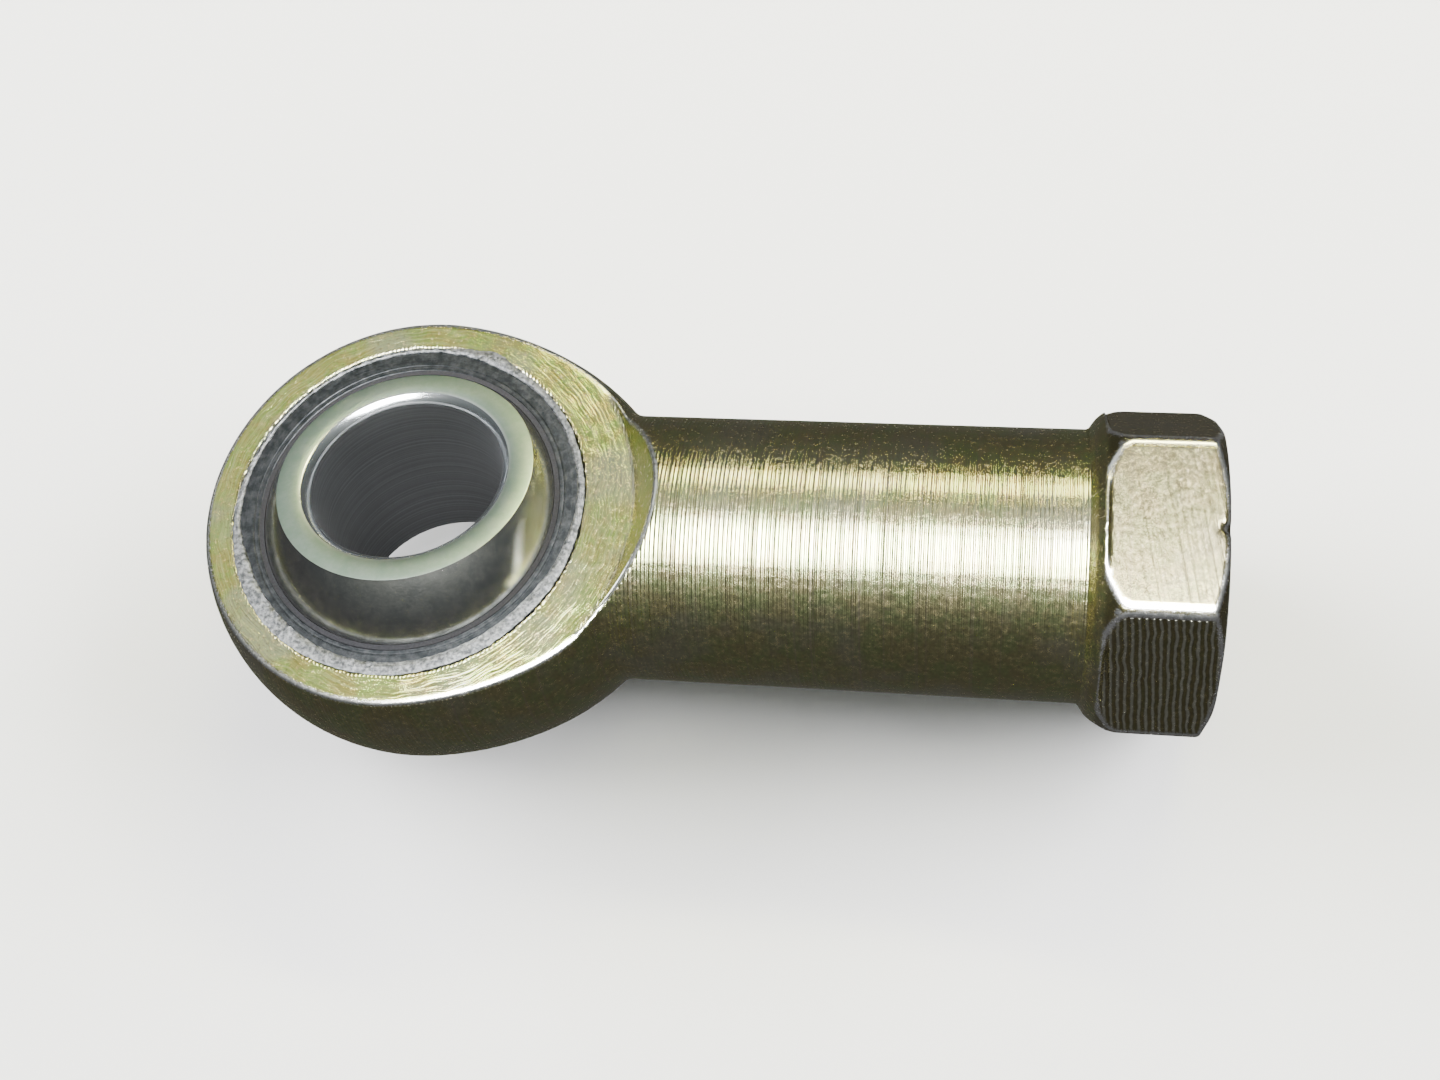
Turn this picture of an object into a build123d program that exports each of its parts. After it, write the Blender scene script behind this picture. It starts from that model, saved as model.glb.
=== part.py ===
from build123d import *
import math
import os

# Rod end bearing, 20 mm bore, female thread, hexagon on the threaded end.
# Origin: centre of the spherical bearing.  +X runs down the shank to the
# threaded end, +Z is the axis of the eye in the head.

# ---- driving dimensions (mm) ------------------------------------------------
BORE_D = 20.0            # bore of the inner ring, pin size
BORE_CHAMFER = 0.8
BALL_D = 34.925          # 1 3/8 inch ball
RING_WIDTH = 22.65       # inner ring, face to face
RING_TILT = 12.0         # lean of the inner ring in the stored pose, degrees

LINER_CLEARANCE = 0.04   # radial, ball to liner
LINER_THICKNESS = 0.45
RACE_OD = 39.0           # seat of the race in the head
RACE_FACE_OD = 36.86     # the head's rim is rolled in to here over the race
RACE_BEVEL = 1.7         # height of the bevel that the rim is rolled over
RACE_WIDTH = 16.7        # a touch under the head, so it sits below the face

HEAD_D = 46.4            # spherical part of the head
HEAD_WIDTH = 17.0        # across the flat faces of the head
HEAD_ARC_1 = 7.0         # the sphere runs this far past its top, degrees
HEAD_R_2 = 36.0          # flatter arc towards the shank
HEAD_ARC_2 = 20.0
HEAD_R_3 = 26.0          # rounder arc down to the shank
HEAD_ARC_3 = 18.0
NECK_FILLET = 2.0

FLANK_R = 23.7           # face cut runs out to this radius about the eye
FLANK_TOP_R = 27.3       # and the flank leans out to here ...
FLANK_TOP_Z = 14.9       # ... at this height
FLANK_FILLET = 1.3

SHANK_D = 27.6
COLLAR_D = 33.6          # turned collar that the hexagon is milled on
COLLAR_START = 68.45
COLLAR_FRONT = ((0.75, 1.1), (1.55, 1.8), (2.75, 2.75))   # run and rise of its front
COLLAR_CHAMFER = 1.15    # 30 degree chamfer of the end, along the shank
HEX_AF = 29.5
HEX_TURN = 6.5           # hexagon's turn about the shank, degrees
HEX_START = 70.15        # the flats stop short of the collar's front
BODY_END = 81.15         # eye centre to threaded end

THREAD_MINOR_D = 18.376  # M20 x 1.5, minor diameter of the nut thread
THREAD_DEPTH = 40.0
THREAD_MOUTH_D = 20.6
DRILL_TIP_ANGLE = 118.0

os.makedirs("parts", exist_ok=True)

head_r = HEAD_D / 2
half_head = HEAD_WIDTH / 2
shank_r = SHANK_D / 2
ball_r = BALL_D / 2
liner_in_r = ball_r + LINER_CLEARANCE
liner_out_r = liner_in_r + LINER_THICKNESS
half_race = RACE_WIDTH / 2

# ---- rod end body -----------------------------------------------------------
# The profile of the head, as three tangent arcs, up from the tip of the head.
with BuildPart() as rod_end_body:
    with BuildSketch(Plane.XY) as body_profile:
        with BuildLine():
            arc_1 = JernArc((-head_r, 0), (0, 1), head_r, -(90 + HEAD_ARC_1))
            arc_2 = JernArc(arc_1 @ 1, arc_1 % 1, HEAD_R_2, -HEAD_ARC_2)
            arc_3 = JernArc(arc_2 @ 1, arc_2 % 1, HEAD_R_3, -HEAD_ARC_3)
            tail = arc_3 @ 1
            slope = arc_3 % 1
            run = (tail.Y - shank_r) / -slope.Y
            neck = (tail.X + slope.X * run, shank_r)
            Polyline(
                tail,
                neck,
                (COLLAR_START, shank_r),
                *[(COLLAR_START + run, shank_r + rise) for run, rise in COLLAR_FRONT],
                (COLLAR_START + 3.7, COLLAR_D / 2),
                (BODY_END - COLLAR_CHAMFER, COLLAR_D / 2),
                (BODY_END, COLLAR_D / 2 - COLLAR_CHAMFER / math.tan(math.radians(30))),
                (BODY_END, 0),
                (-head_r, 0),
            )
        make_face()
        corners = body_profile.vertices().filter_by(lambda v: v.Y > 1)
        fillet(corners.sort_by(lambda v: abs(v.X - neck[0]))[0], NECK_FILLET)
        soft = [v for v in body_profile.vertices()
                if v.Y > 1 and COLLAR_START + 0.1 < v.X < COLLAR_START + 3.8]
        fillet(soft, 0.9)
    revolve(axis=Axis.X)

    # hexagon: what stands outside the flats is milled off the collar
    with BuildSketch(Plane.YZ.offset(HEX_START)) as hex_waste:
        Circle(COLLAR_D)
        RegularPolygon(HEX_AF / 2, 6, major_radius=False,
                       rotation=HEX_TURN, mode=Mode.SUBTRACT)
    extrude(amount=BODY_END - HEX_START + 2.0, mode=Mode.SUBTRACT)

    # flat faces of the head with the leaning flank beside the shank
    with BuildSketch(Plane.XZ) as face_cut:
        with BuildLine():
            Polyline(
                (0, half_head),
                (FLANK_R, half_head),
                (FLANK_TOP_R, FLANK_TOP_Z),
                (FLANK_TOP_R + 0.01, 40),
                (0, 40),
                close=True,
            )
        make_face()
        inner = [v for v in face_cut.vertices()
                 if abs(v.X - FLANK_R) < 1e-6 and abs(v.Z - half_head) < 1e-6]
        fillet(inner, FLANK_FILLET)
    revolve(axis=Axis.Z, mode=Mode.SUBTRACT)
    with BuildSketch(Plane.XZ) as face_cut_low:
        add(mirror(face_cut.sketch, about=Plane.XY, mode=Mode.PRIVATE))
    revolve(axis=Axis.Z, mode=Mode.SUBTRACT)

    # seat of the race, narrowed at each face by the rolled rim
    with BuildSketch(Plane.XZ):
        with BuildLine():
            Polyline(
                (0, -half_head),
                (RACE_FACE_OD / 2, -half_head),
                (RACE_FACE_OD / 2, -half_race),
                (RACE_OD / 2, -half_race + RACE_BEVEL),
                (RACE_OD / 2, half_race - RACE_BEVEL),
                (RACE_FACE_OD / 2, half_race),
                (RACE_FACE_OD / 2, half_head),
                (0, half_head),
                close=True,
            )
        make_face()
    revolve(axis=Axis.Z, mode=Mode.SUBTRACT)

    # threaded hole, at its minor diameter, with the drill's cone and the mouth
    with BuildSketch(Plane.XY):
        with BuildLine():
            minor_r = THREAD_MINOR_D / 2
            mouth_r = THREAD_MOUTH_D / 2
            tip = minor_r / math.tan(math.radians(DRILL_TIP_ANGLE / 2))
            floor_x = BODY_END - THREAD_DEPTH
            Polyline(
                (BODY_END, 0),
                (BODY_END, mouth_r),
                (BODY_END - (mouth_r - minor_r), minor_r),
                (floor_x, minor_r),
                (floor_x - tip, 0),
                close=True,
            )
        make_face()
    revolve(axis=Axis.X, mode=Mode.SUBTRACT)

rod_end_body.part.label = "rod_end_body"
export_step(rod_end_body.part, "parts/rod_end_body.step")

# ---- outer race, held in the head by the rim rolled over its bevels ---------
with BuildPart() as outer_race:
    with BuildSketch(Plane.XZ):
        with BuildLine():
            Polyline(
                (RACE_FACE_OD / 2, half_race),
                (RACE_OD / 2, half_race - RACE_BEVEL),
                (RACE_OD / 2, -half_race + RACE_BEVEL),
                (RACE_FACE_OD / 2, -half_race),
                (10, -half_race),
                (10, half_race),
                close=True,
            )
        make_face()
    revolve(axis=Axis.Z)
    Sphere(liner_out_r, mode=Mode.SUBTRACT)

outer_race.part.label = "outer_race"
export_step(outer_race.part, "parts/outer_race.step")

# ---- sliding liner, bonded into the race ------------------------------------
with BuildPart() as ptfe_liner:
    Sphere(liner_out_r)
    Sphere(liner_in_r, mode=Mode.SUBTRACT)
    with BuildSketch(Plane.XY.offset(half_race)):
        Circle(BALL_D)
    extrude(amount=BALL_D, mode=Mode.SUBTRACT)
    with BuildSketch(Plane.XY.offset(-half_race)):
        Circle(BALL_D)
    extrude(amount=-BALL_D, mode=Mode.SUBTRACT)

ptfe_liner.part.label = "ptfe_liner"
export_step(ptfe_liner.part, "parts/ptfe_liner.step")

# ---- inner ring: ball with two flats and the pin bore -----------------------
# The ring leans about X, towards +Y, inside its liner.
lean = math.radians(RING_TILT)
ring_axis = (0, math.sin(lean), math.cos(lean))
ring_plane = Plane(origin=(0, 0, 0), x_dir=(1, 0, 0), z_dir=ring_axis)
half_ring = RING_WIDTH / 2
flat_r = math.sqrt(ball_r**2 - half_ring**2)
ring_section = Plane(origin=(0, 0, 0), x_dir=(1, 0, 0),
                     z_dir=(0, -math.cos(lean), math.sin(lean)))

with BuildPart() as inner_ring:
    with BuildSketch(ring_section):
        with BuildLine():
            Polyline(
                (flat_r, half_ring),
                (BORE_D / 2 + BORE_CHAMFER, half_ring),
                (BORE_D / 2, half_ring - BORE_CHAMFER),
                (BORE_D / 2, -half_ring + BORE_CHAMFER),
                (BORE_D / 2 + BORE_CHAMFER, -half_ring),
                (flat_r, -half_ring),
            )
            ThreePointArc((flat_r, -half_ring), (ball_r, 0), (flat_r, half_ring))
        make_face()
    revolve(axis=Axis((0, 0, 0), ring_axis))

inner_ring.part.label = "inner_ring"
export_step(inner_ring.part, "parts/inner_ring.step")
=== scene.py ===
import math

import bmesh
import bpy
import numpy as np
from mathutils import Euler, Matrix, Vector
from mathutils.bvhtree import BVHTree
from mathutils.kdtree import KDTree


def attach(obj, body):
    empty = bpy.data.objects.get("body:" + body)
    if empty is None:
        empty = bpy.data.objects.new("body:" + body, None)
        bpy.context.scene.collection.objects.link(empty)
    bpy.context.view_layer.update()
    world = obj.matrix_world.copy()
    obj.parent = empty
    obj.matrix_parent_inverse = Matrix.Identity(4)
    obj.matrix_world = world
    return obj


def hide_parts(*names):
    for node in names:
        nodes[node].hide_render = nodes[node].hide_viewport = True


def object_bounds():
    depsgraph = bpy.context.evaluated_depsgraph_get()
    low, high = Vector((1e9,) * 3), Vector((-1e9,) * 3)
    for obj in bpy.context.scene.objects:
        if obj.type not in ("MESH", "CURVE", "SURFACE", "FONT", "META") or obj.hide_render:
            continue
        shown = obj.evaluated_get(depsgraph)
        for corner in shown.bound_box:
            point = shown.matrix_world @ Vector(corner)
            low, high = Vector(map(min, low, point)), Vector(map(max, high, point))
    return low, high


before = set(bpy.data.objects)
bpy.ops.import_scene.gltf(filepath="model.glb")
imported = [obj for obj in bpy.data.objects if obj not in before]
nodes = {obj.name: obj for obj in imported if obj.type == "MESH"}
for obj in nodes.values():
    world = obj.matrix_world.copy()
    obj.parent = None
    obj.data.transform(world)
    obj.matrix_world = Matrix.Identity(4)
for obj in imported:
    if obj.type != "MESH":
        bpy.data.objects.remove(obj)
cad_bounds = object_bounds()
scene = bpy.context.scene
MM = 0.001

# sizes shared with the CAD part, in millimetres
HALF_HEAD = 8.5
HALF_RACE = 8.35
RACE_R = 19.5
RACE_FACE_R = 18.43
BALL_R = 17.4625
LINER_OUT_R = 17.9525
HALF_RING = 11.325
RING_LEAN = math.radians(12.0)
BORE_R = 10.0
HEX_START = 70.15
BODY_END = 81.15
THREAD_MINOR_R = 9.188
THREAD_MAJOR_R = 10.0
THREAD_PITCH = 1.5
THREAD_FLOOR = 41.15
MOUTH_R = 10.3

# housing skin, lengths in millimetres
SKIN_VOXEL = 0.28
EDGE_ANGLE = math.radians(16)   # the least bend that counts as a sharp edge
EDGE_STEP = 0.15         # spacing of the points laid along the sharp edges
ROUND_REACH = 0.45       # how far from an edge the skin is smoothed
ROUND_PASSES = 4
WEAR_REACH = 0.42        # width of the rubbed band at an edge
POCKET_R = 10.35         # the skin's bore, opened to take the thread piece
TUBE_R = 10.33           # outside of the thread piece

# steps of the turned and threaded pieces
LATHE_SEGMENTS = 320
RIM_SEGMENTS = 900
THREAD_STEPS = 420
THREAD_SEGMENTS = 96

# ---------------------------------------------------------------- node helpers


class Shader:
    """A material and short ways to add nodes to it."""

    def __init__(self, name):
        self.mat = bpy.data.materials.new(name)
        self.mat.use_nodes = True
        self.nt = self.mat.node_tree
        self.bsdf = self.nt.nodes["Principled BSDF"]

    def add(self, kind, **settings):
        node = self.nt.nodes.new(kind)
        for key, value in settings.items():
            setattr(node, key, value)
        return node

    def put(self, socket, value):
        if hasattr(value, "is_output"):
            self.nt.links.new(value, socket)
        elif value is not None:
            socket.default_value = value

    def math(self, op, a, b=None, c=None):
        node = self.add("ShaderNodeMath", operation=op)
        for i, value in enumerate((a, b, c)):
            self.put(node.inputs[i], value)
        return node.outputs[0]

    def vmath(self, op, a, b=None, scale=None):
        node = self.add("ShaderNodeVectorMath", operation=op)
        self.put(node.inputs[0], a)
        self.put(node.inputs[1], b)
        if scale is not None:
            self.put(node.inputs["Scale"], scale)
        gives_number = op in ("LENGTH", "DOT_PRODUCT")
        return node.outputs["Value" if gives_number else "Vector"]

    def ramp(self, value, lo, hi, a=0.0, b=1.0):
        node = self.add("ShaderNodeMapRange", interpolation_type="SMOOTHSTEP")
        for name, v in (("Value", value), ("From Min", lo), ("From Max", hi),
                        ("To Min", a), ("To Max", b)):
            self.put(node.inputs[name], v)
        return node.outputs[0]

    def mixed(self, data_type, factor, a, b):
        node = self.add("ShaderNodeMix", data_type=data_type)
        self.put(node.inputs["Factor"], factor)
        self.put(node.inputs["A"], a)
        self.put(node.inputs["B"], b)
        return node.outputs["Result"]

    def mix(self, factor, a, b):
        return self.mixed("RGBA", factor, a, b)

    def blend(self, factor, a, b):
        return self.mixed("FLOAT", factor, a, b)

    def times(self, a, b):
        return self.math("MULTIPLY", a, b)

    def texture(self, dimensions, socket, value, scale, detail, rough):
        node = self.add("ShaderNodeTexNoise", noise_dimensions=dimensions)
        self.put(node.inputs[socket], value)
        node.inputs["Scale"].default_value = scale
        node.inputs["Detail"].default_value = detail
        node.inputs["Roughness"].default_value = rough
        return node.outputs["Fac"]

    def noise(self, vector, scale, detail, rough):
        return self.texture("3D", "Vector", vector, scale, detail, rough)

    def lines(self, value, scale, detail, rough):
        """Noise that runs in lines across the direction of value."""
        return self.texture("1D", "W", value, scale, detail, rough)

    def xyz(self, vector):
        node = self.add("ShaderNodeSeparateXYZ")
        self.put(node.inputs[0], vector)
        return node.outputs[0], node.outputs[1], node.outputs[2]

    def join(self, x, y, z):
        node = self.add("ShaderNodeCombineXYZ")
        for i, v in enumerate((x, y, z)):
            self.put(node.inputs[i], v)
        return node.outputs[0]

    def bump(self, height, distance_mm, strength, normal=None):
        node = self.add("ShaderNodeBump")
        node.inputs["Strength"].default_value = strength
        node.inputs["Distance"].default_value = distance_mm * MM
        self.put(node.inputs["Height"], height)
        if normal is not None:
            self.put(node.inputs["Normal"], normal)
        return node.outputs["Normal"]

    def object_mm(self):
        """Object coordinates in millimetres; also keeps the object normal."""
        coord = self.add("ShaderNodeTexCoord")
        self.normal = coord.outputs["Normal"]
        return self.vmath("SCALE", coord.outputs["Object"], scale=1000.0)

    def attribute(self, name):
        return self.add("ShaderNodeAttribute", attribute_name=name).outputs["Fac"]

    def finish(self, color, rough, normal=None, metallic=1.0):
        self.put(self.bsdf.inputs["Base Color"], color)
        self.put(self.bsdf.inputs["Roughness"], rough)
        self.put(self.bsdf.inputs["Metallic"], metallic)
        if normal is not None:
            self.put(self.bsdf.inputs["Normal"], normal)
        return self.mat


def rgb(r, g, b):
    return (r, g, b, 1.0)


# ------------------------------------------------------------------- materials


def plating_colour(s, p, on_face, on_hex, speck, mottle, along, arcs):
    """The passivation film: clouds of olive, green, gold and grey, with a painted
    highlight along the turning arcs of the head faces.
    """
    olive, green = rgb(0.48, 0.44, 0.13), rgb(0.38, 0.50, 0.12)
    gold, grey = rgb(0.70, 0.53, 0.18), rgb(0.50, 0.50, 0.34)
    rose, straw = rgb(0.60, 0.44, 0.36), rgb(0.76, 0.74, 0.50)
    # the arc colour is a painted highlight for the turning arcs of the head faces
    arc_painted_highlight, stain = rgb(0.70, 0.74, 0.32), rgb(0.22, 0.19, 0.09)
    drab, bronze = rgb(0.50, 0.47, 0.36), rgb(0.24, 0.20, 0.10)
    cloud = s.noise(p, 0.10, 3.0, 0.6)
    patch = s.noise(p, 0.38, 4.0, 0.65)
    blot = s.noise(p, 3.3, 2.0, 0.5)
    off_face = s.math("SUBTRACT", 1.0, on_face)
    c = s.mix(s.ramp(patch, 0.38, 0.62), olive, green)
    c = s.mix(s.ramp(cloud, 0.48, 0.66, 0.0, 0.75), c, grey)
    c = s.mix(s.ramp(mottle, 0.50, 0.75, 0.0, 0.8), c, gold)
    c = s.mix(s.times(off_face, s.ramp(along, 0.55, 0.75, 0.0, 0.4)), c, rose)
    c = s.mix(s.ramp(speck, 0.62, 0.80, 0.0, 0.30), c, straw)
    # painted highlight: the turning arcs on the head faces are lightened as if they catch
    # the light
    c = s.mix(s.times(on_face, s.ramp(arcs, 0.40, 0.70, 0.0, 0.6)), c, arc_painted_highlight)
    c = s.mix(s.ramp(blot, 0.30, 0.44, 0.45, 0.0), c, stain)
    c = s.mix(s.times(off_face, 0.45), c, drab)
    return s.mix(s.times(on_hex, 0.70), c, bronze)


def passivated_steel():
    """Zinc plate with a yellow-green passivation film, turned and milled under it."""
    cut_silver, bare_zinc = rgb(0.80, 0.80, 0.68), rgb(0.86, 0.86, 0.84)
    s = Shader("passivated_steel")
    p = s.object_mm()
    x, y, z = s.xyz(p)
    nx, ny, nz = s.xyz(s.normal)
    wear = s.attribute("wear")
    mottle = s.noise(p, 1.9, 4.0, 0.75)
    speck = s.noise(p, 7.0, 3.0, 0.8)

    # where the flat head faces and the hexagon are
    is_flat = s.ramp(s.math("ABSOLUTE", nz), 0.985, 0.998)
    on_face = s.times(is_flat, s.ramp(x, 26.0, 27.0, 1.0, 0.0))
    on_hex = s.ramp(x, HEX_START - 0.4, HEX_START + 0.2)

    # turning lines along the shank and arcs on the head faces
    along = s.lines(x, 1.7, 3.0, 0.7)
    r = s.vmath("LENGTH", s.join(x, y, 0.0))
    bent = s.math("MULTIPLY_ADD", s.noise(p, 0.25, 1.0, 0.5), 1.5, r)
    arcs = s.noise(s.join(s.times(bent, 38.0), x, y), 0.16, 2.0, 0.6)
    c = plating_colour(s, p, on_face, on_hex, speck, mottle, along, arcs)

    # the cutter's lines on the hexagon, coarse on its lower flat
    slant = s.math("ADD", x, s.times(y, 0.18))
    swirl = s.times(s.noise(p, 0.5, 2.0, 0.5), 5.0)
    teeth = s.math("SINE", s.math("MULTIPLY_ADD", slant, 9.6, swirl))
    low_flat = s.ramp(s.times(ny, -1.0), 0.80, 0.88)
    crest = s.times(s.times(on_hex, low_flat), s.ramp(teeth, -0.4, 0.9, 0.0, 0.75))
    c = s.mix(crest, c, cut_silver)

    # edges rubbed back to bright zinc
    torn = s.math("ADD", wear, s.ramp(speck, 0.3, 0.7, -0.35, 0.35))
    c = s.mix(s.ramp(torn, 0.45, 0.75), c, bare_zinc)
    rough = s.ramp(mottle, 0.3, 0.8, 0.19, 0.30)

    mill = s.math("MULTIPLY_ADD", s.lines(slant, 2.2, 2.0, 0.6), 0.4,
                  s.times(teeth, s.blend(low_flat, 0.03, 0.9)))
    tool = s.math("SINE", s.times(x, 15.0))
    turned = s.math("MULTIPLY_ADD", tool, 0.30, along)
    height = s.blend(on_face, turned, arcs)
    height = s.blend(on_hex, height, mill)
    height = s.times(height, s.ramp(wear, 0.15, 0.6, 1.0, 0.0))
    height = s.times(height, s.blend(on_face, 1.0, 0.45))
    # the cut thread is clean
    rho = s.vmath("LENGTH", s.join(0.0, y, z))
    in_thread = s.times(s.ramp(rho, 10.4, 10.7, 1.0, 0.0), s.ramp(x, 40.0, 40.5))
    height = s.times(height, s.math("SUBTRACT", 1.0, in_thread))
    # turning lines fade where the skin faces along the shank
    height = s.times(height, s.ramp(s.math("ABSOLUTE", nx), 0.25, 0.70, 1.0, 0.0))
    n = s.bump(height, 0.10, 0.9)
    n = s.bump(mottle, 0.04, 0.2, n)
    n = s.bump(speck, 0.015, 0.35, n)
    return s.finish(c, rough, n)


def rim_steel():
    """Bare torn metal where the rim was rolled."""
    dark, pale = rgb(0.035, 0.038, 0.041), rgb(0.19, 0.195, 0.20)
    s = Shader("rim_steel")
    p = s.object_mm()
    rip = s.noise(p, 2.2, 5.0, 0.75)
    fine = s.noise(p, 9.0, 3.0, 0.7)
    c = s.mix(s.ramp(rip, 0.35, 0.7), dark, pale)
    n = s.bump(rip, 0.12, 0.8)
    n = s.bump(fine, 0.04, 0.6, n)
    return s.finish(c, s.ramp(rip, 0.3, 0.7, 0.30, 0.48), n)


def race_steel():
    """Dark face of the race, scored by the rolling tool."""
    black, graphite = rgb(0.016, 0.018, 0.020), rgb(0.045, 0.048, 0.051)
    scored = rgb(0.20, 0.21, 0.22)
    s = Shader("race_steel")
    p = s.object_mm()
    x, y, _ = s.xyz(p)
    r = s.vmath("LENGTH", s.join(x, y, 0.0))
    score = s.lines(r, 2.6, 2.0, 0.6)
    smear = s.noise(p, 1.1, 5.0, 0.75)
    fine = s.noise(p, 8.0, 3.0, 0.7)
    c = s.mix(s.ramp(smear, 0.35, 0.7), black, graphite)
    c = s.mix(s.ramp(score, 0.60, 0.8, 0.0, 0.12), c, scored)
    n = s.bump(score, 0.03, 0.4)
    n = s.bump(smear, 0.10, 0.5, n)
    n = s.bump(fine, 0.03, 0.5, n)
    return s.finish(c, s.ramp(fine, 0.3, 0.7, 0.34, 0.50), n)


def bearing_steel():
    """Ring steel: satin faces, bright chamfer, ground bore, dark lapped ball."""
    mint, pale_mint = rgb(0.25, 0.34, 0.27), rgb(0.31, 0.38, 0.33)
    face_speck, chamfer = rgb(0.46, 0.50, 0.44), rgb(0.72, 0.76, 0.78)
    ball_dark, ball_pale = rgb(0.44, 0.45, 0.43), rgb(0.56, 0.56, 0.52)
    bore_dark, bore_pale = rgb(0.30, 0.31, 0.32), rgb(0.40, 0.415, 0.43)
    s = Shader("bearing_steel")
    p = s.object_mm()
    axis = (0.0, math.sin(RING_LEAN), math.cos(RING_LEAN))
    side = (0.0, math.cos(RING_LEAN), -math.sin(RING_LEAN))
    x, _, _ = s.xyz(p)
    across = s.vmath("DOT_PRODUCT", p, side)
    h = s.vmath("DOT_PRODUCT", p, axis)
    r = s.vmath("LENGTH", s.join(x, across, 0.0))

    facing = s.math("ABSOLUTE", s.vmath("DOT_PRODUCT", s.normal, axis))
    on_face = s.ramp(facing, 0.95, 0.99)
    on_chamfer = s.times(s.ramp(r, 11.0, 11.3, 1.0, 0.0),
                         s.ramp(s.math("ABSOLUTE", h), 10.45, 10.6))
    on_chamfer = s.times(on_chamfer, s.math("SUBTRACT", 1.0, on_face))
    in_bore = s.ramp(r, 10.05, 10.25, 1.0, 0.0)

    tint = s.noise(p, 0.5, 4.0, 0.7)
    fine = s.noise(p, 6.0, 3.0, 0.75)
    grind = s.lines(h, 3.4, 3.0, 0.75)
    face = s.mix(s.ramp(tint, 0.35, 0.7), mint, pale_mint)
    face = s.mix(s.ramp(fine, 0.62, 0.8, 0.0, 0.5), face, face_speck)
    ball = s.mix(s.ramp(tint, 0.3, 0.7), ball_dark, ball_pale)
    bore = s.mix(s.ramp(grind, 0.4, 0.7), bore_dark, bore_pale)
    c = s.mix(on_face, ball, face)
    c = s.mix(on_chamfer, c, chamfer)
    c = s.mix(in_bore, c, bore)
    rough = s.blend(on_face, s.ramp(fine, 0.3, 0.7, 0.12, 0.20), 0.36)
    rough = s.blend(in_bore, rough, 0.34)
    n = s.bump(s.blend(in_bore, fine, grind), 0.012, 0.6)
    return s.finish(c, rough, n)


def liner_painted_gap_shade():
    """Dark sliding fabric, painted near black and almost without shine as the shade in the
    gap beside the ball.
    """
    s = Shader("liner")
    p = s.object_mm()
    weave = s.noise(p, 5.0, 2.0, 0.6)
    # painted shade: near black with little shine, so the gap between ball and race stays
    # dark under any light
    c = s.mix(weave, rgb(0.012, 0.012, 0.014), rgb(0.04, 0.04, 0.045))
    s.bsdf.inputs["Specular IOR Level"].default_value = 0.06
    return s.finish(c, 0.7, s.bump(weave, 0.05, 0.5), metallic=0.0)


# --------------------------------------------------------------------- geometry


def new_object(name, verts, faces, smooth_angle):
    """A smooth-shaded object whose faces all look outwards."""
    mesh = bpy.data.meshes.new(name)
    mesh.from_pydata([tuple(v) for v in verts], [], faces)
    mesh.validate()
    mesh.polygons.foreach_set("use_smooth", [True] * len(mesh.polygons))
    mesh.set_sharp_from_angle(angle=math.radians(smooth_angle))
    obj = bpy.data.objects.new(name, mesh)
    scene.collection.objects.link(obj)
    bm = bmesh.new()
    bm.from_mesh(mesh)
    bmesh.ops.recalc_face_normals(bm, faces=bm.faces)
    bm.to_mesh(mesh)
    bm.free()
    return obj


def ring_faces(rows, cols):
    """Quads of a grid that closes on itself both ways."""
    faces = []
    for i in range(rows):
        this_row, next_row = i * cols, (i + 1) % rows * cols
        for j in range(cols):
            k = (j + 1) % cols
            faces.append((this_row + j, this_row + k, next_row + k, next_row + j))
    return faces


def around_z(r, a, h):
    """Point in metres at radius r, angle a and height h about Z."""
    return Vector((r * math.cos(a), r * math.sin(a), h)) * MM


def around_x(x, r, a):
    """Point in metres at x, radius r and angle a about X."""
    return Vector((x, r * math.cos(a), r * math.sin(a))) * MM


def lathe(name, profile, turn):
    """A closed (radius, height) profile turned about Z, then rotated by turn."""
    verts = []
    for k in range(LATHE_SEGMENTS):
        a = 2 * math.pi * k / LATHE_SEGMENTS
        verts += [turn @ around_z(r, a, h) for r, h in profile]
    return new_object(name, verts, ring_faces(LATHE_SEGMENTS, len(profile)), 32.0)


def waves(seed, count, lowest, highest):
    """A smooth periodic function of an angle, about -1 to 1."""
    rng = np.random.default_rng(seed)
    k = rng.integers(lowest, highest, count)
    phase = rng.uniform(0, 2 * np.pi, count)
    size = rng.uniform(0.4, 1.0, count)
    size /= size.sum() * 0.6
    return lambda a: (size * np.sin(k * a + phase)).sum()


def arc_points(r, last_angle, count):
    """Points of an arc from angle 0 up to last_angle."""
    angles = np.linspace(0.0, last_angle, count)
    return [(r * math.cos(a), r * math.sin(a)) for a in angles]


# ---- the ring: the CAD section with its edges rounded
edge = math.asin((HALF_RING - 0.16) / BALL_R)
half = [(BORE_R, 0.0), (BORE_R, 5.0), (BORE_R, HALF_RING - 0.85),
        (BORE_R + 0.03, HALF_RING - 0.76), (BORE_R + 0.74, HALF_RING - 0.05),
        (BORE_R + 0.84, HALF_RING), (12.0, HALF_RING),
        (BALL_R * math.cos(edge) - 0.24, HALF_RING),
        (BALL_R * math.cos(edge) - 0.10, HALF_RING - 0.035)]
half += list(reversed(arc_points(BALL_R, edge, 30)))[:-1]
outline = half + [(BALL_R, 0.0)] + [(r, -h) for r, h in reversed(half[1:])]
lean = Matrix.Rotation(-RING_LEAN, 3, "X")
ring = lathe("ball_ring", outline, lean)
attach(ring, "ring")
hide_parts("inner_ring")
ring.data.materials.append(bearing_steel())

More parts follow.
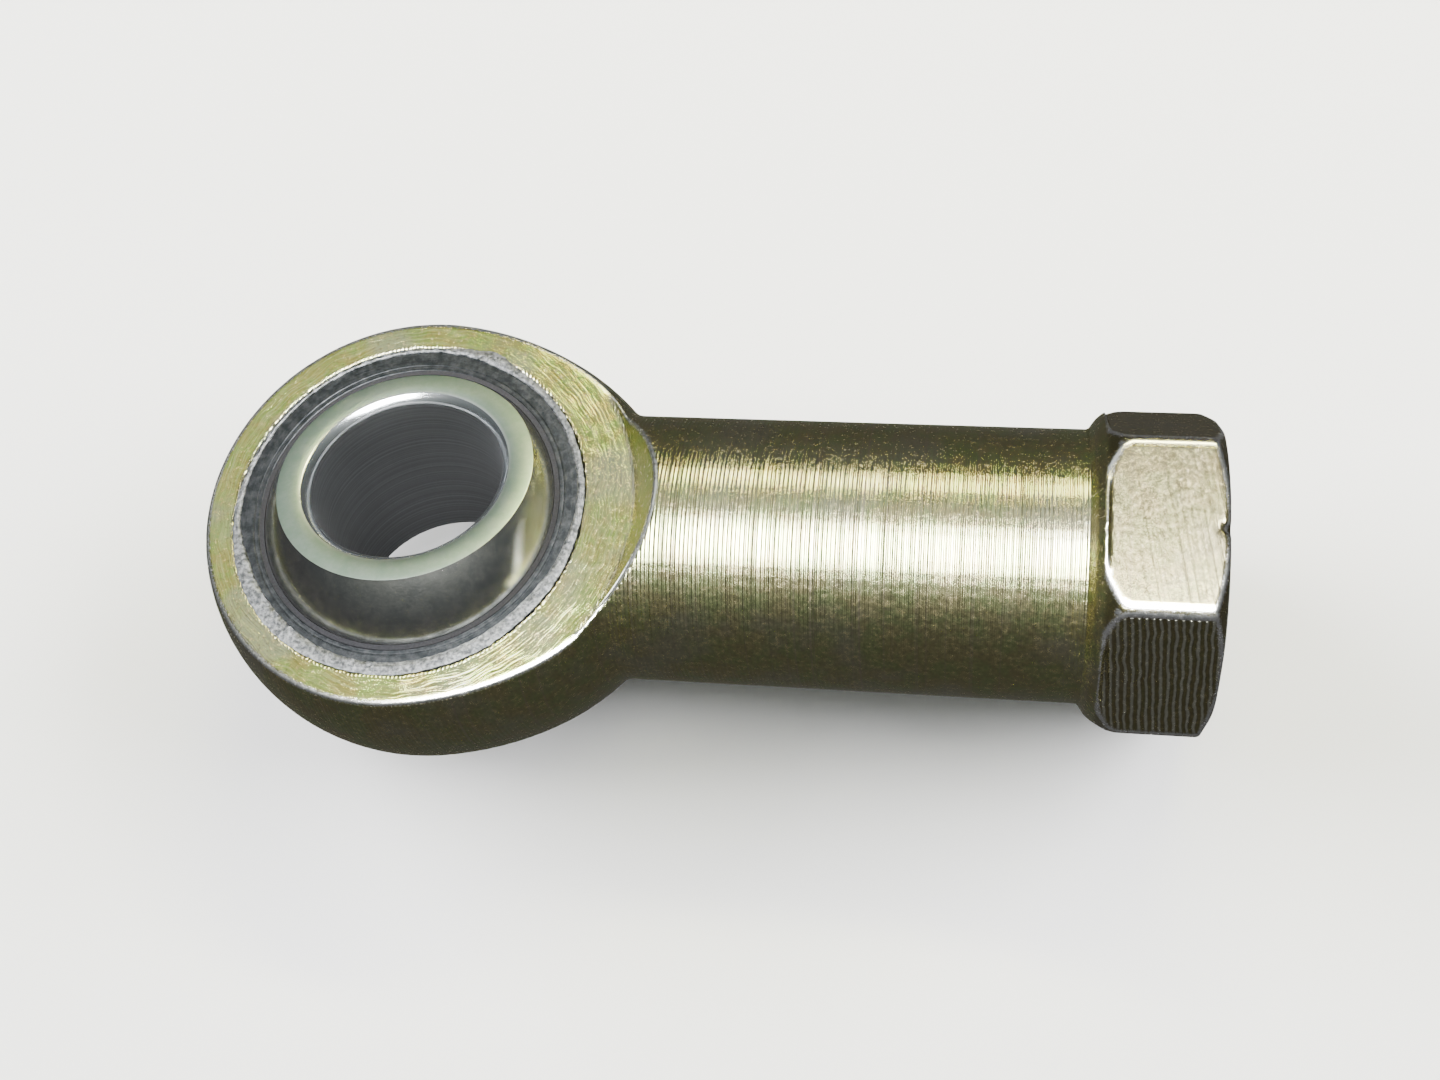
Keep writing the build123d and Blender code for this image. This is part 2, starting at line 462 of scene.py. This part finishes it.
# ---- the race: scored dark face, spherical inside
top_in = math.sqrt(LINER_OUT_R**2 - HALF_RACE**2)
race_half = [(RACE_R, 0.0), (RACE_R, HALF_RACE - 1.7), (RACE_FACE_R, HALF_RACE),
             (16.62, HALF_RACE), (16.56, HALF_RACE), (16.50, HALF_RACE - 0.05),
             (16.44, HALF_RACE - 0.05), (16.38, HALF_RACE), (16.32, HALF_RACE),
             (top_in + 0.16, HALF_RACE), (top_in + 0.10, HALF_RACE),
             (top_in + 0.02, HALF_RACE - 0.06)]
race_half += list(reversed(
    arc_points(LINER_OUT_R, math.asin((HALF_RACE - 0.12) / LINER_OUT_R), 14)))
race_outline = race_half + [(r, -h) for r, h in reversed(race_half[:-1])][:-1]
race = lathe("race_face", race_outline, Matrix.Identity(3))
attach(race, "housing")
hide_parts("outer_race")
race.data.materials.append(race_steel())

nodes["ptfe_liner"].data.materials.clear()
nodes["ptfe_liner"].data.materials.append(liner_painted_gap_shade())


# ---- rolled rim: a torn ring of bare metal pressed over the race at each face
def keyed(a, keys):
    """Smooth interpolation of (degrees, value) keys round the circle."""
    deg = math.degrees(a) % 360
    loop = keys + [(keys[0][0] + 360, keys[0][1])]
    for (d0, v0), (d1, v1) in zip(loop, loop[1:]):
        if d0 <= deg <= d1:
            t = (deg - d0) / (d1 - d0)
            return v0 + (v1 - v0) * t * t * (3 - 2 * t)


# radii of the rim round the eye, by degrees from +X: narrow up to about 190,
# wide from there to about 345, and smeared outwards near 70
RIM_INNER = [(0, 17.65), (40, 17.8), (62, 17.75), (90, 18.0), (150, 18.05),
             (188, 17.95), (196, 17.6), (204, 17.2), (232, 17.0), (262, 17.2),
             (300, 17.05), (325, 17.05), (345, 17.4)]
RIM_OUTER = [(0, 18.50), (40, 18.55), (60, 18.7), (70, 19.3), (78, 18.9), (90, 18.6),
             (150, 18.55), (210, 18.75), (228, 18.8), (245, 18.6), (320, 18.5)]
SLOW_SIZE, QUICK_SIZE, JAG_SIZE, LIFT_SIZE = 0.05, 0.06, 0.03, 0.03


def rolled_rim(name, sign, seed, turn):
    slow, quick = waves(seed, 6, 3, 14), waves(seed + 1, 14, 30, 110)
    slow2, quick2 = waves(seed + 2, 6, 3, 14), waves(seed + 3, 14, 30, 110)
    lift = waves(seed + 4, 12, 8, 60)
    tear = np.random.default_rng(seed + 5)
    jag_in = tear.uniform(-1, 1, RIM_SEGMENTS)
    jag_out = tear.uniform(-1, 1, RIM_SEGMENTS)
    verts = []
    for k in range(RIM_SEGMENTS):
        a = 2 * math.pi * k / RIM_SEGMENTS
        b = a * sign + turn
        inner = (keyed(b, RIM_INNER) + SLOW_SIZE * slow(a) + QUICK_SIZE * quick(a)
                 + JAG_SIZE * jag_in[k])
        outer = (keyed(b, RIM_OUTER) + SLOW_SIZE * slow2(a) + QUICK_SIZE * quick2(a)
                 + JAG_SIZE * jag_out[k])
        top = HALF_HEAD + 0.05 + LIFT_SIZE * lift(a)
        section = [(inner, HALF_RACE - 0.12), (inner + 0.01, HALF_RACE + 0.03),
                   (inner + 0.10, top - 0.05),
                   (inner * 0.6 + outer * 0.4, top - 0.01),
                   (outer - 0.34, top), (outer - 0.01, HALF_HEAD + 0.006),
                   (outer, HALF_HEAD - 0.08), (outer - 0.05, HALF_RACE - 0.12)]
        verts += [around_z(r, a, h * sign) for r, h in section]
    obj = new_object(name, verts, ring_faces(RIM_SEGMENTS, len(section)), 50.0)
    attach(obj, "housing")
    obj.data.materials.append(rim_metal)


rim_metal = rim_steel()
rolled_rim("rolled_rim_upper", 1, 11, 0.0)
rolled_rim("rolled_rim_lower", -1, 23, 1.9)


# ---- thread: a right-hand helix, closed outside by a plain tube
def thread_radius(x, a):
    """Radius of the nut thread's wall at x and angle a about the shank."""
    turn = a / (2 * math.pi) * THREAD_PITCH
    phase = ((x - turn) / THREAD_PITCH) % 1.0
    rise = abs(phase - 0.5) * 2          # 0 at the root, 1 at the crest
    root_flat, flank = 0.10, 0.66
    depth = THREAD_MAJOR_R - THREAD_MINOR_R
    r = THREAD_MAJOR_R - depth * min(1.0, max(0.0, (rise - root_flat) / flank))
    run_out = 3.0
    fade = min(1.0, max(0.0, (x - THREAD_FLOOR) / run_out))
    r = THREAD_MINOR_R + (r - THREAD_MINOR_R) * fade
    return max(r, MOUTH_R - (BODY_END - x))


def thread_piece():
    angles = [2 * math.pi * j / THREAD_SEGMENTS for j in range(THREAD_SEGMENTS)]
    verts = []
    for x in np.linspace(THREAD_FLOOR, BODY_END, THREAD_STEPS):
        verts += [around_x(x, thread_radius(x, a), a) for a in angles]
    for x in (BODY_END, THREAD_FLOOR):
        verts += [around_x(x, TUBE_R, a) for a in angles]
    faces = ring_faces(THREAD_STEPS + 2, THREAD_SEGMENTS)
    return new_object("thread", verts, faces, 40.0)


# ---- housing: the CAD skin with its sharp edges worn round
def widened_body():
    """The CAD body in millimetres, its bore opened to take the thread piece."""
    bm = bmesh.new()
    bm.from_mesh(nodes["rod_end_body"].data)
    bmesh.ops.remove_doubles(bm, verts=bm.verts, dist=1e-6)
    bmesh.ops.scale(bm, vec=(1000, 1000, 1000), verts=bm.verts)
    off_axis = 5.0           # points nearer the axis than this stay where they are
    for v in bm.verts:
        rho = math.hypot(v.co.y, v.co.z)
        if v.co.x > THREAD_FLOOR - 0.01 and off_axis < rho < MOUTH_R + 0.05:
            v.co.y *= POCKET_R / rho
            v.co.z *= POCKET_R / rho
    bm.normal_update()
    return bm


def sharp_edge_tree(bm):
    """Points laid along every sharp outward edge, ready for nearest searches."""
    sharp = []
    for e in bm.edges:
        if len(e.link_faces) == 2 and e.calc_face_angle_signed() > EDGE_ANGLE:
            p0, p1 = e.verts[0].co, e.verts[1].co
            n = max(1, int((p1 - p0).length / EDGE_STEP))
            sharp += [p0.lerp(p1, i / n) for i in range(n + 1)]
    kd = KDTree(len(sharp))
    for i, p in enumerate(sharp):
        kd.insert(p, i)
    kd.balance()
    return kd


def even_skin(bm):
    """The body as an object with an even voxel skin."""
    mesh = bpy.data.meshes.new("rod_end")
    bm.to_mesh(mesh)
    obj = bpy.data.objects.new("rod_end", mesh)
    scene.collection.objects.link(obj)
    mod = obj.modifiers.new("skin", "REMESH")
    mod.mode = "VOXEL"
    mod.voxel_size = SKIN_VOXEL
    mod.use_smooth_shade = True
    depsgraph = bpy.context.evaluated_depsgraph_get()
    skin = bpy.data.meshes.new_from_object(obj.evaluated_get(depsgraph))
    obj.modifiers.clear()
    obj.data = skin
    return obj


def smooth_near_edges(skin, co, gap):
    """Average the points near the sharp edges with their neighbours."""
    pairs = np.empty(len(skin.edges) * 2, int)
    skin.edges.foreach_get("vertices", pairs)
    pairs = pairs.reshape(-1, 2)
    degree = np.bincount(pairs.ravel(), minlength=len(co))[:, None]
    weight = np.clip(1.3 - gap / ROUND_REACH, 0, 1)[:, None]
    step = 0.6
    for _ in range(ROUND_PASSES):
        total = np.zeros_like(co)
        np.add.at(total, pairs[:, 0], co[pairs[:, 1]])
        np.add.at(total, pairs[:, 1], co[pairs[:, 0]])
        co += (total / degree - co) * weight * step


def dented(co):
    """The points with a nick knocked into the threaded end's edge."""
    place, inward = np.array([81.1, -1.85, 14.6]), np.array([-0.75, 0.0, -0.66])
    deep = spread = 0.55
    away = (co - place) * np.array([0.8, 1.25, 1.0])
    d = np.sqrt((away ** 2).sum(axis=1))
    depth = deep * np.exp(-(d / spread) ** 2)
    return co + depth[:, None] * inward


def worn_housing():
    bm = widened_body()
    tree = BVHTree.FromBMesh(bm)
    kd = sharp_edge_tree(bm)
    obj = even_skin(bm)
    bm.free()
    skin = obj.data
    count = len(skin.vertices)
    co = np.empty(count * 3)
    skin.vertices.foreach_get("co", co)
    co = co.reshape(-1, 3)
    gap = np.empty(count)
    for i in range(count):
        co[i] = tree.find_nearest(Vector(co[i]))[0]
        gap[i] = kd.find(Vector(co[i]))[2]
    smooth_near_edges(skin, co, gap)
    co = dented(co)
    skin.vertices.foreach_set("co", (co * MM).ravel())
    skin.update()

    # rubbed bright at the edges, but not in the thread and little in the eye
    rho = np.hypot(co[:, 1], co[:, 2])
    eye = np.hypot(co[:, 0], co[:, 1])
    worn = np.exp(-(gap / WEAR_REACH) ** 2)
    worn[(rho < 11.0) & (co[:, 0] > 30)] = 0
    worn[eye < 19.2] *= 0.2
    skin.attributes.new("wear", "FLOAT", "POINT").data.foreach_set("value", worn)
    return obj


housing = worn_housing()
steel = passivated_steel()
housing.data.materials.clear()
housing.data.materials.append(steel)
thread = thread_piece()
thread.data.materials.append(steel)
for piece in (housing, thread):
    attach(piece, "housing")
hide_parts("rod_end_body")

# ------------------------------------------------------- floor, lights, camera
floor_z = cad_bounds[0].z - 0.0003
bpy.ops.mesh.primitive_plane_add(size=16.0, location=(0.03, 0, floor_z))
floor = bpy.context.object
floor.name = "floor"
paint = Shader("floor_paint")
floor.data.materials.append(paint.finish(rgb(0.93, 0.93, 0.93), 1.0, metallic=0.0))
floor.visible_glossy = False


def studio_world():
    """Dark low down, with a soft pale ceiling."""
    world = bpy.data.worlds.new("studio")
    world.use_nodes = True
    nt = world.node_tree
    back = nt.nodes["Background"]
    coord = nt.nodes.new("ShaderNodeTexCoord")
    split = nt.nodes.new("ShaderNodeSeparateXYZ")
    ramp = nt.nodes.new("ShaderNodeValToRGB")
    nt.links.new(coord.outputs["Generated"], split.inputs[0])
    half = nt.nodes.new("ShaderNodeMath")
    half.operation = "MULTIPLY_ADD"
    half.inputs[1].default_value = 0.5
    half.inputs[2].default_value = 0.5
    nt.links.new(split.outputs[2], half.inputs[0])
    nt.links.new(half.outputs[0], ramp.inputs[0])
    stops = [(0.0, (0.10, 0.10, 0.10)), (0.50, (0.11, 0.11, 0.115)),
             (0.62, (0.13, 0.14, 0.145)), (0.82, (0.26, 0.28, 0.27)),
             (1.0, (0.42, 0.44, 0.44))]
    els = ramp.color_ramp.elements
    while len(els) < len(stops):
        els.new(0.5)
    for el, (pos, col) in zip(els, stops):
        el.position = pos
        el.color = (*col, 1.0)
    nt.links.new(ramp.outputs[0], back.inputs[0])
    back.inputs[1].default_value = 0.8
    scene.world = world


studio_world()


def area_light(name, place, aim, size, watts, color=(1, 1, 1)):
    data = bpy.data.lights.new(name, "AREA")
    data.shape = "RECTANGLE"
    data.size, data.size_y = size
    data.energy = watts
    data.color = color
    lamp = bpy.data.objects.new(name, data)
    lamp.location = place
    toward = Vector(aim) - Vector(place)
    lamp.rotation_euler = toward.to_track_quat("-Z", "Y").to_euler()
    scene.collection.objects.link(lamp)
    return lamp


key = area_light("key", (0.065, -0.100, 0.36), (0.045, 0, 0), (0.26, 0.21), 15.0)
key.visible_diffuse = False
area_light("gold", (0.11, 0.30, 0.33), (0.06, 0, 0), (0.28, 0.035), 1.9,
           (1.0, 0.93, 0.42))
area_light("left", (-0.30, 0.28, 0.42), (0.0, 0, 0), (0.34, 0.34), 0.25,
           (0.95, 1.0, 0.97))
for side in (-1, 1):
    soft = area_light("floor_light", (0.04 + side * 0.9, 0.3, 0.5), (0.04, 0, 0),
                      (1.0, 0.8), 50.0)
    soft.visible_glossy = False

# the camera stands above the shank's -Y side and looks steeply down
cam_data = bpy.data.cameras.new("camera")
cam_data.sensor_width = 36.0
cam_data.lens = 42.5
cam_data.clip_start = 0.01
camera = bpy.data.objects.new("camera", cam_data)
place = Vector((0.06039, -0.06942, 0.16080))
turn = Euler([math.radians(degrees) for degrees in (24.314, 7.611, 6.021)])
camera.matrix_world = Matrix.LocRotScale(place, turn, None)
scene.collection.objects.link(camera)
scene.camera = camera
